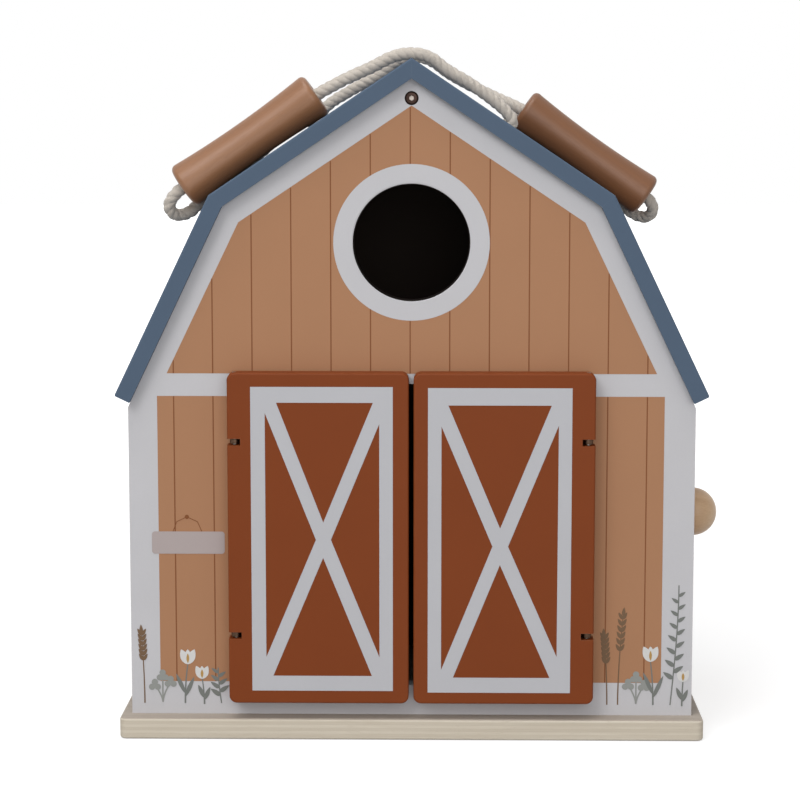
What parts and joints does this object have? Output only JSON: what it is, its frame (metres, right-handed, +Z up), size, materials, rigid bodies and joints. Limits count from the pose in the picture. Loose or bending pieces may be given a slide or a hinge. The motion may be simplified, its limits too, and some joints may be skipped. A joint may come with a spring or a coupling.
{
  "type": "toy farmhouse",
  "caption": "Toy wooden farmhouse with a gambrel roof, hinged front doors, a round window, a drop-down side with a knob, and rope carrying grips.",
  "frame": {"origin": "centre of the base board's underside, on the surface that it stands on", "axes": "+Z up, the front doors face -Y, and the side that drops down is on +X"},
  "size_m": [0.2866, 0.169, 0.3202],
  "materials": {
    "pine": "clear matte varnish",
    "wall_paint": "matte paint",
    "roof_paint": "matte paint",
    "door_paint": "matte paint",
    "beech": "clear satin varnish",
    "stained_wood": "satin stain",
    "cotton": "natural",
    "steel": "bright",
    "bronzed_steel": "dark bronze"
  },
  "bodies": {
    "house": {"base_board": "pine", "front_panel": "wall_paint", "back_panel": "wall_paint", "left_wall": "wall_paint", "eave_rail": "pine", "ridge_beam": "pine", "roof_upper_left": "roof_paint", "roof_upper_right": "roof_paint", "roof_lower_left": "roof_paint", "roof_lower_right": "roof_paint", "gable_screws": "bronzed_steel", "base_screws": "steel", "wall_dowels": "pine", "hinge_eyes": "steel", "rail_magnets": "steel", "front_rope": "cotton", "back_rope": "cotton", "front_rope_knots": "cotton", "back_rope_knots": "cotton"},
    "left_door_leaf": {"left_door": "door_paint", "left_hinge_pins": "steel"},
    "right_door_leaf": {"right_door": "door_paint", "right_hinge_pins": "steel"},
    "drop_side": {"side_flap": "wall_paint", "side_knob": "beech", "knob_screw": "steel", "flap_magnets": "steel", "flap_pivot_pins": "steel"},
    "front_handle": {"front_grip": "stained_wood"},
    "back_handle": {"back_grip": "stained_wood"}
  },
  "joints": [
    {"name": "left_door_hinge", "type": "hinge", "parent": "house", "child": "left_door_leaf", "pos_m": [-0.0812, -0.0805, 0.0954], "axis": [0, 0, -1], "range_deg": [0, 170]},
    {"name": "right_door_hinge", "type": "hinge", "parent": "house", "child": "right_door_leaf", "pos_m": [0.0812, -0.0805, 0.0954], "axis": [0, 0, 1], "range_deg": [0, 170]},
    {"name": "side_flap_hinge", "type": "hinge", "parent": "house", "child": "drop_side", "pos_m": [0.128, 0, 0.014], "axis": [0, 1, 0], "range_deg": [0, 84]},
    {"name": "front_grip_spin", "type": "hinge", "parent": "house", "child": "front_handle", "pos_m": [-0.07542, -0.054, 0.27699], "axis": [-0.8221, 0, -0.5693], "continuous": true},
    {"name": "back_grip_spin", "type": "hinge", "parent": "house", "child": "back_handle", "pos_m": [0.08495, 0.026, 0.27001], "axis": [0.8161, 0, -0.5779], "continuous": true}
  ]
}
